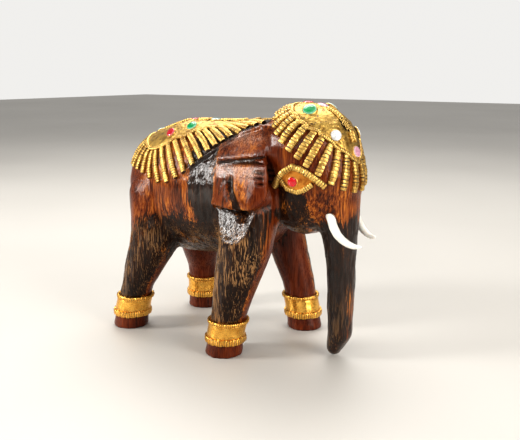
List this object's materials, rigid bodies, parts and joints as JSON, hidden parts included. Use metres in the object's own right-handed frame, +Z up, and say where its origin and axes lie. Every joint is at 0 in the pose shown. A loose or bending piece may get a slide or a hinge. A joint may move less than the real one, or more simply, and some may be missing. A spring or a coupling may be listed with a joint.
{
  "type": "elephant figurine",
  "caption": "Carved wooden elephant standing on its soles, with a moulded gold saddle and headdress, glass stones, gold anklets and white tusks.",
  "frame": {"origin": "on the ground at the centre of the object's box", "axes": "+X towards the head, +Y to the animal's left, +Z up"},
  "size_m": [0.1538, 0.0798, 0.1303],
  "materials": {
    "lacquered_wood": "dark red-brown stain rubbed back to show pale flecks, under gloss lacquer",
    "gold_paste": "moulded paste painted gold, darker in the grooves",
    "amber_gold": "orange gold paint",
    "ivory_resin": "polished ivory white",
    "red_glass": "foil-backed glass",
    "green_glass": "foil-backed glass",
    "pale_green_glass": "foil-backed glass",
    "clear_glass": "foil-backed glass",
    "pink_glass": "foil-backed glass"
  },
  "bodies": {
    "root": {"carved_body": "lacquered_wood", "tusk_right": "ivory_resin", "tusk_left": "ivory_resin", "saddle_plate": "gold_paste", "saddle_edge_cord": "gold_paste", "saddle_braid": "gold_paste", "saddle_fringe_right": "gold_paste", "saddle_fringe_left": "gold_paste", "saddle_green_stone_right": "green_glass", "saddle_green_stone_left": "green_glass", "saddle_red_stone_right": "red_glass", "saddle_red_stone_left": "red_glass", "saddle_pale_stone_rear": "pale_green_glass", "saddle_pale_stone_front": "pale_green_glass", "saddle_red_stone_mid": "red_glass", "headdress_plate": "gold_paste", "headdress_edge_cord": "gold_paste", "headdress_flower": "gold_paste", "headdress_fringe_right": "gold_paste", "headdress_fringe_left": "gold_paste", "headdress_green_stone_right": "green_glass", "headdress_pale_stone_left": "pale_green_glass", "headdress_white_stone_right": "clear_glass", "headdress_white_stone_left": "clear_glass", "headdress_red_stone_crown": "red_glass", "headdress_pink_stone_top": "pink_glass", "headdress_lilac_stone_brow": "pink_glass", "eye_plate_right": "amber_gold", "eye_plate_left": "amber_gold", "eye_brow_cord_right": "gold_paste", "eye_brow_cord_left": "gold_paste", "eye_lower_cord_right": "gold_paste", "eye_lower_cord_left": "gold_paste", "eye_stone_right": "red_glass", "eye_stone_left": "red_glass", "front_right_anklet_band": "gold_paste", "front_right_anklet_upper_cord": "gold_paste", "front_right_anklet_lower_cord": "gold_paste", "front_left_anklet_band": "gold_paste", "front_left_anklet_upper_cord": "gold_paste", "front_left_anklet_lower_cord": "gold_paste", "rear_right_anklet_band": "gold_paste", "rear_right_anklet_upper_cord": "gold_paste", "rear_right_anklet_lower_cord": "gold_paste", "rear_left_anklet_band": "gold_paste", "rear_left_anklet_upper_cord": "gold_paste", "rear_left_anklet_lower_cord": "gold_paste"}
  },
  "joints": []
}
